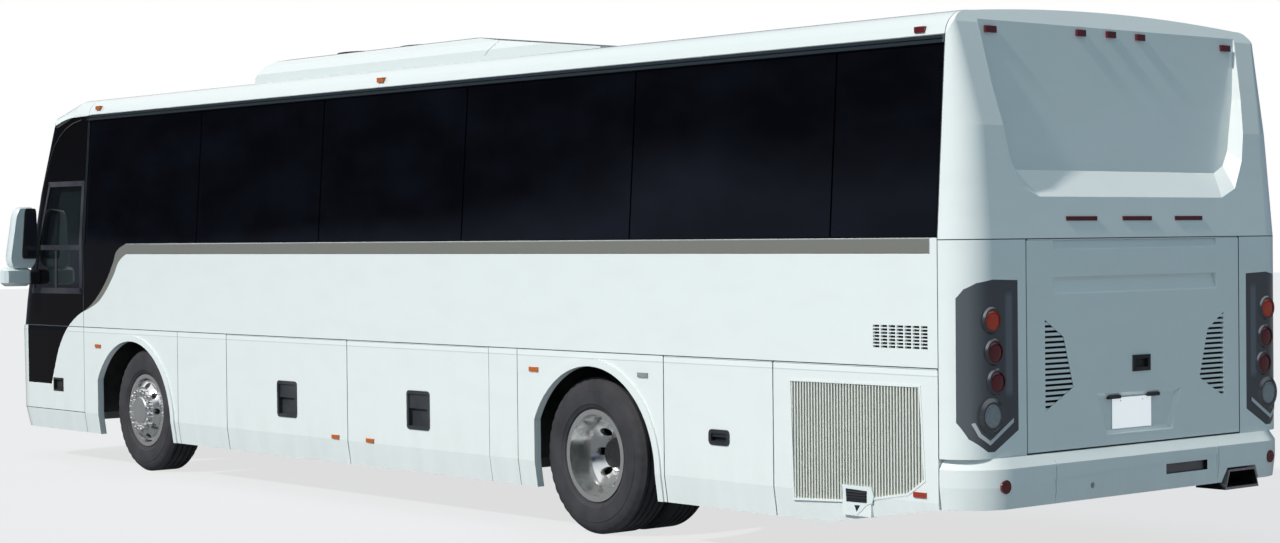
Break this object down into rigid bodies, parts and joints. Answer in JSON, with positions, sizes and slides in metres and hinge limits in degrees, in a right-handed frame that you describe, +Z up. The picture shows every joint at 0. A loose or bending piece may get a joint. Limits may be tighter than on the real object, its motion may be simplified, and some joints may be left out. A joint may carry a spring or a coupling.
{
  "type": "coach bus",
  "caption": "Two-axle coach bus with a smooth body, tinted window band, rooftop air-conditioning unit, lift-up luggage locker doors, steered front wheels and twin rear wheels.",
  "frame": {"origin": "on the ground, under the middle of the vehicle", "axes": "+X forwards along the vehicle, +Y to its left, +Z up"},
  "size_m": [10.7498, 3.18, 3.038],
  "materials": {
    "body_paint": "gloss cool white",
    "dark_glass": "dark tint",
    "clear_lens": "clear",
    "smoked_lens": "smoked",
    "amber_lens": "amber",
    "floor": "ribbed",
    "bay_lining": "satin grey",
    "chassis_paint": "satin black",
    "seat_fabric": "dark blue-grey cloth",
    "dash_plastic": "grained",
    "cast_iron": "rough",
    "bright_metal": "satin",
    "polished_alloy": "polished",
    "tyre": "matte"
  },
  "bodies": {
    "body": {"left_wall": "body_paint", "right_wall": "body_paint", "roof": "body_paint", "roof_unit": "body_paint", "front_cap": "body_paint", "front_panel": "body_paint", "front_bumper": "body_paint", "skirt_panels": "body_paint", "rear_cap": "body_paint", "rear_corners": "body_paint", "rear_bumper": "body_paint", "windscreen": "dark_glass", "side_windows": "dark_glass", "headlamps": "clear_lens", "tail_lamps": "smoked_lens", "marker_lamps": "amber_lens", "mirrors": "body_paint", "floor_deck": "floor", "luggage_bay": "bay_lining", "underframe": "chassis_paint", "seats": "seat_fabric", "driver_station": "dash_plastic", "engine_block": "cast_iron", "exhaust_pipe": "bright_metal", "front_axle": "chassis_paint", "rear_axle": "chassis_paint"},
    "left_steer": {"left_knuckle": "chassis_paint"},
    "right_steer": {"right_knuckle": "chassis_paint"},
    "front_left_wheel": {"front_left_rim": "polished_alloy", "front_left_tyre": "tyre"},
    "rear_left_wheel": {"rear_left_rims": "polished_alloy", "rear_left_tyres": "tyre"},
    "front_right_wheel": {"front_right_rim": "polished_alloy", "front_right_tyre": "tyre"},
    "rear_right_wheel": {"rear_right_rims": "polished_alloy", "rear_right_tyres": "tyre"},
    "radiator_door_body": {"radiator_door": "body_paint"},
    "left_service_door_body": {"left_service_door": "body_paint"},
    "left_rear_locker_door_body": {"left_rear_locker_door": "body_paint"},
    "left_front_locker_door_body": {"left_front_locker_door": "body_paint"},
    "right_rear_locker_door_body": {"right_rear_locker_door": "body_paint"},
    "right_front_locker_door_body": {"right_front_locker_door": "body_paint"},
    "engine_door_body": {"engine_door": "body_paint"},
    "entry_door_body": {"passenger_door": "body_paint", "passenger_door_glass": "dark_glass"}
  },
  "joints": [
    {"name": "left_steering", "type": "hinge", "parent": "body", "child": "left_steer", "pos_m": [3.15, 0.925, 0.455], "axis": [0, 0, 1], "range_deg": [-35, 35]},
    {"name": "front_left_spin", "type": "hinge", "parent": "left_steer", "child": "front_left_wheel", "pos_m": [3.15, 1.108, 0.455], "axis": [0, 1, 0], "continuous": true},
    {"name": "rear_left_spin", "type": "hinge", "parent": "body", "child": "rear_left_wheel", "pos_m": [-2.307, 0.958, 0.455], "axis": [0, 1, 0], "continuous": true},
    {"name": "right_steering", "type": "hinge", "parent": "body", "child": "right_steer", "pos_m": [3.15, -0.925, 0.455], "axis": [0, 0, 1], "range_deg": [-35, 35]},
    {"name": "front_right_spin", "type": "hinge", "parent": "right_steer", "child": "front_right_wheel", "pos_m": [3.15, -1.108, 0.455], "axis": [0, 1, 0], "continuous": true},
    {"name": "rear_right_spin", "type": "hinge", "parent": "body", "child": "rear_right_wheel", "pos_m": [-2.307, -0.958, 0.455], "axis": [0, 1, 0], "continuous": true},
    {"name": "radiator_lift", "type": "hinge", "parent": "body", "child": "radiator_door_body", "pos_m": [0, 1.291, 1.0565], "axis": [1, 0, 0], "range_deg": [0, 85]},
    {"name": "left_service_lift", "type": "hinge", "parent": "body", "child": "left_service_door_body", "pos_m": [0, 1.291, 1.0565], "axis": [1, 0, 0], "range_deg": [0, 85]},
    {"name": "left_rear_locker_lift", "type": "hinge", "parent": "body", "child": "left_rear_locker_door_body", "pos_m": [0, 1.291, 1.0565], "axis": [1, 0, 0], "range_deg": [0, 85]},
    {"name": "left_front_locker_lift", "type": "hinge", "parent": "body", "child": "left_front_locker_door_body", "pos_m": [0, 1.291, 1.0565], "axis": [1, 0, 0], "range_deg": [0, 85]},
    {"name": "right_rear_locker_lift", "type": "hinge", "parent": "body", "child": "right_rear_locker_door_body", "pos_m": [0, -1.291, 1.0565], "axis": [-1, 0, 0], "range_deg": [0, 85]},
    {"name": "right_front_locker_lift", "type": "hinge", "parent": "body", "child": "right_front_locker_door_body", "pos_m": [0, -1.291, 1.0565], "axis": [-1, 0, 0], "range_deg": [0, 85]},
    {"name": "engine_door_lift", "type": "hinge", "parent": "body", "child": "engine_door_body", "pos_m": [-5.321, 0, 1.6865], "axis": [0, 1, 0], "range_deg": [0, 75]},
    {"name": "entry_door_swing", "type": "hinge", "parent": "body", "child": "entry_door_body", "pos_m": [4.8765, -1.291, 1.1], "axis": [0, 0, 1], "range_deg": [0, 85]}
  ],
  "couplings": [
    {"joint": "right_steering", "follows": "left_steering", "ratio": 1}
  ]
}
